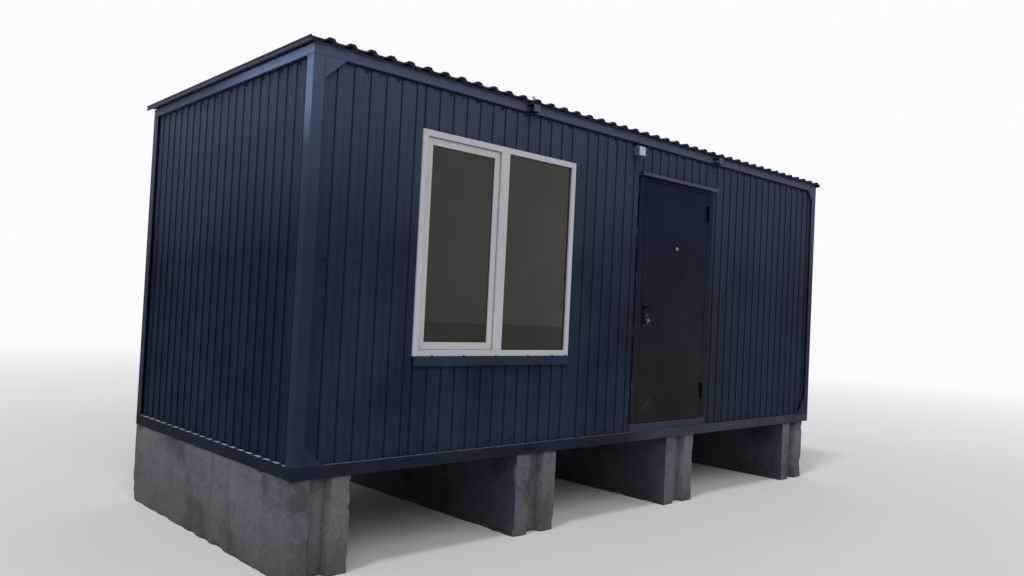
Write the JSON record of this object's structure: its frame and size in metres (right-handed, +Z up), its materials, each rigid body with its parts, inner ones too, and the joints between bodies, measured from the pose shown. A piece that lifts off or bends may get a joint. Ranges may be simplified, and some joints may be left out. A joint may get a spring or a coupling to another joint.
{
  "type": "portable site cabin",
  "caption": "Flat-roofed steel-framed site cabin clad in profiled sheet, with a window and a steel door, on precast concrete blocks.",
  "frame": {"origin": "middle of the plan outline, roof overhang and lifting lugs included, at the underside of the foundation blocks", "axes": "+X along the front from left to right, +Y from the front with window and door to the back, +Z up"},
  "size_m": [6.06, 2.5945, 3.1092],
  "materials": {
    "concrete": "rough cast",
    "frame_paint": "satin",
    "cladding_paint": "satin",
    "roof_paint": "satin",
    "timber": "sawn",
    "floor_board": "matt",
    "wall_lining": "satin",
    "window_white": "gloss",
    "glass": "clear",
    "door_paint": "semi-matt",
    "door_metal": "satin",
    "viewer": "satin",
    "rusty_rod": "rusty",
    "light_housing": "satin",
    "light_glass": "gloss"
  },
  "bodies": {
    "cabin": {"foundation_block_1": "concrete", "foundation_block_2": "concrete", "foundation_block_3": "concrete", "foundation_block_4": "concrete", "base_rails_long": "frame_paint", "base_rails_ends": "frame_paint", "top_rails_long": "frame_paint", "top_rails_ends": "frame_paint", "corner_posts": "frame_paint", "corner_gussets": "frame_paint", "lifting_lugs": "frame_paint", "window_sill": "frame_paint", "door_drip_cap": "frame_paint", "cladding_front": "cladding_paint", "cladding_back": "cladding_paint", "cladding_left": "cladding_paint", "cladding_right": "cladding_paint", "roof_sheet": "roof_paint", "floor_joists": "timber", "roof_purlins": "timber", "subfloor": "floor_board", "floor_deck": "floor_board", "front_wall_left": "wall_lining", "front_wall_below_window": "wall_lining", "front_wall_above_window": "wall_lining", "front_wall_middle": "wall_lining", "front_wall_above_door": "wall_lining", "front_wall_right": "wall_lining", "back_wall": "wall_lining", "left_wall": "wall_lining", "right_wall": "wall_lining", "ceiling": "wall_lining", "window_frame": "window_white", "window_sash": "window_white", "window_panes": "glass", "door_frame": "door_paint", "hinges_on_frame": "door_metal", "lifting_loop": "rusty_rod", "floodlight_housing": "light_housing", "floodlight_glass": "light_glass"},
    "door": {"door_leaf": "door_paint", "hinges_on_leaf": "door_metal", "door_lock_plates": "door_metal", "door_peephole": "viewer"},
    "levers": {"door_levers": "door_metal"}
  },
  "joints": [
    {"name": "door_hinge", "type": "hinge", "parent": "cabin", "child": "door", "pos_m": [1.021, -1.227, 1.7195], "axis": [0, 0, 1], "range_deg": [0, 165]},
    {"name": "lever_turn", "type": "hinge", "parent": "door", "child": "levers", "pos_m": [0.156, -1.215, 1.678], "axis": [0, 1, 0], "range_deg": [0, 45], "stiffness_Nm_per_rad": 1.2, "springref_deg": -34.38}
  ]
}
